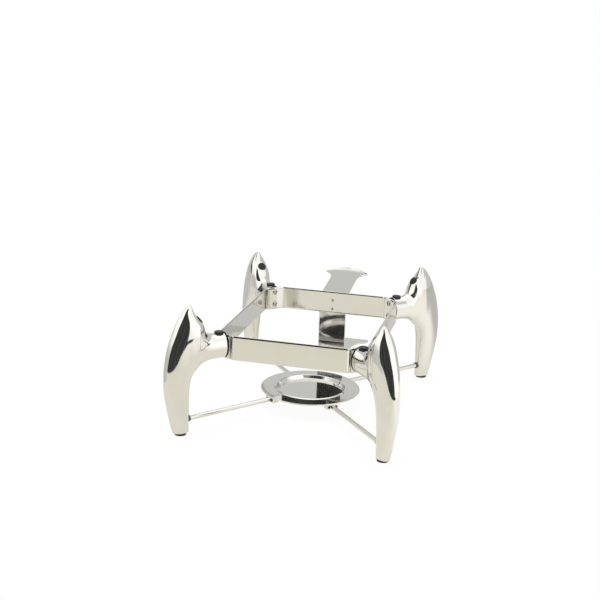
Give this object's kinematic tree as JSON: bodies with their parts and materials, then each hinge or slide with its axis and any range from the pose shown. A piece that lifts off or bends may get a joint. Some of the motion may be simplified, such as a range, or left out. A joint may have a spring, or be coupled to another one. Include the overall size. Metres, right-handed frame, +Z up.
{
  "type": "chafing dish frame",
  "caption": "Polished steel stand with curved horn legs joined by flat straps, a fuel dish on rods below and a lid holder behind, for a water pan over a burner.",
  "frame": {"origin": "on the table under the middle of the outline seen from above, 43.6 mm behind the middle of the strap rectangle and of the fuel dish", "axes": "+X along the front strap to the right, +Y from the front to the lid holder at the rear, +Z up"},
  "size_m": [0.4656, 0.6466, 0.264],
  "materials": {
    "polished_steel": "mirror polished stainless steel",
    "plain_steel": "plain steel",
    "black_rubber": "matt black rubber",
    "black_screw": "blackened steel"
  },
  "bodies": {
    "root": {"leg_front_left": "polished_steel", "rubber_foot_front_left": "black_rubber", "arm_pad_front_left": "black_rubber", "horn_pad_front_left": "black_rubber", "arm_gasket_front_left": "black_rubber", "arm_insert_front_left": "plain_steel", "corner_screw_lower_front_left": "plain_steel", "corner_screw_upper_front_left": "plain_steel", "leg_front_right": "polished_steel", "rubber_foot_front_right": "black_rubber", "arm_pad_front_right": "black_rubber", "horn_pad_front_right": "black_rubber", "arm_gasket_front_right": "black_rubber", "arm_insert_front_right": "plain_steel", "corner_screw_lower_front_right": "plain_steel", "corner_screw_upper_front_right": "plain_steel", "leg_rear_left": "polished_steel", "rubber_foot_rear_left": "black_rubber", "arm_pad_rear_left": "black_rubber", "horn_pad_rear_left": "black_rubber", "arm_gasket_rear_left": "black_rubber", "arm_insert_rear_left": "plain_steel", "corner_screw_lower_rear_left": "plain_steel", "corner_screw_upper_rear_left": "plain_steel", "leg_rear_right": "polished_steel", "rubber_foot_rear_right": "black_rubber", "arm_pad_rear_right": "black_rubber", "horn_pad_rear_right": "black_rubber", "arm_gasket_rear_right": "black_rubber", "arm_insert_rear_right": "plain_steel", "corner_screw_lower_rear_right": "plain_steel", "corner_screw_upper_rear_right": "plain_steel", "strap_front": "polished_steel", "strap_left": "polished_steel", "strap_rear": "polished_steel", "strap_right": "polished_steel", "fuel_rod_front_left": "polished_steel", "rod_sleeve_front_left": "black_rubber", "rod_lug_front_left": "polished_steel", "lug_screw_a_front_left": "black_screw", "lug_screw_b_front_left": "black_screw", "fuel_rod_front_right": "polished_steel", "rod_sleeve_front_right": "black_rubber", "rod_lug_front_right": "polished_steel", "lug_screw_a_front_right": "black_screw", "lug_screw_b_front_right": "black_screw", "fuel_rod_rear_left": "polished_steel", "rod_sleeve_rear_left": "black_rubber", "rod_lug_rear_left": "polished_steel", "lug_screw_a_rear_left": "black_screw", "lug_screw_b_rear_left": "black_screw", "fuel_rod_rear_right": "polished_steel", "rod_sleeve_rear_right": "black_rubber", "rod_lug_rear_right": "polished_steel", "lug_screw_a_rear_right": "black_screw", "lug_screw_b_rear_right": "black_screw", "fuel_dish": "polished_steel", "lid_holder": "polished_steel", "lid_holder_rivet_lower": "plain_steel", "lid_holder_rivet_upper": "plain_steel"}
  },
  "joints": []
}
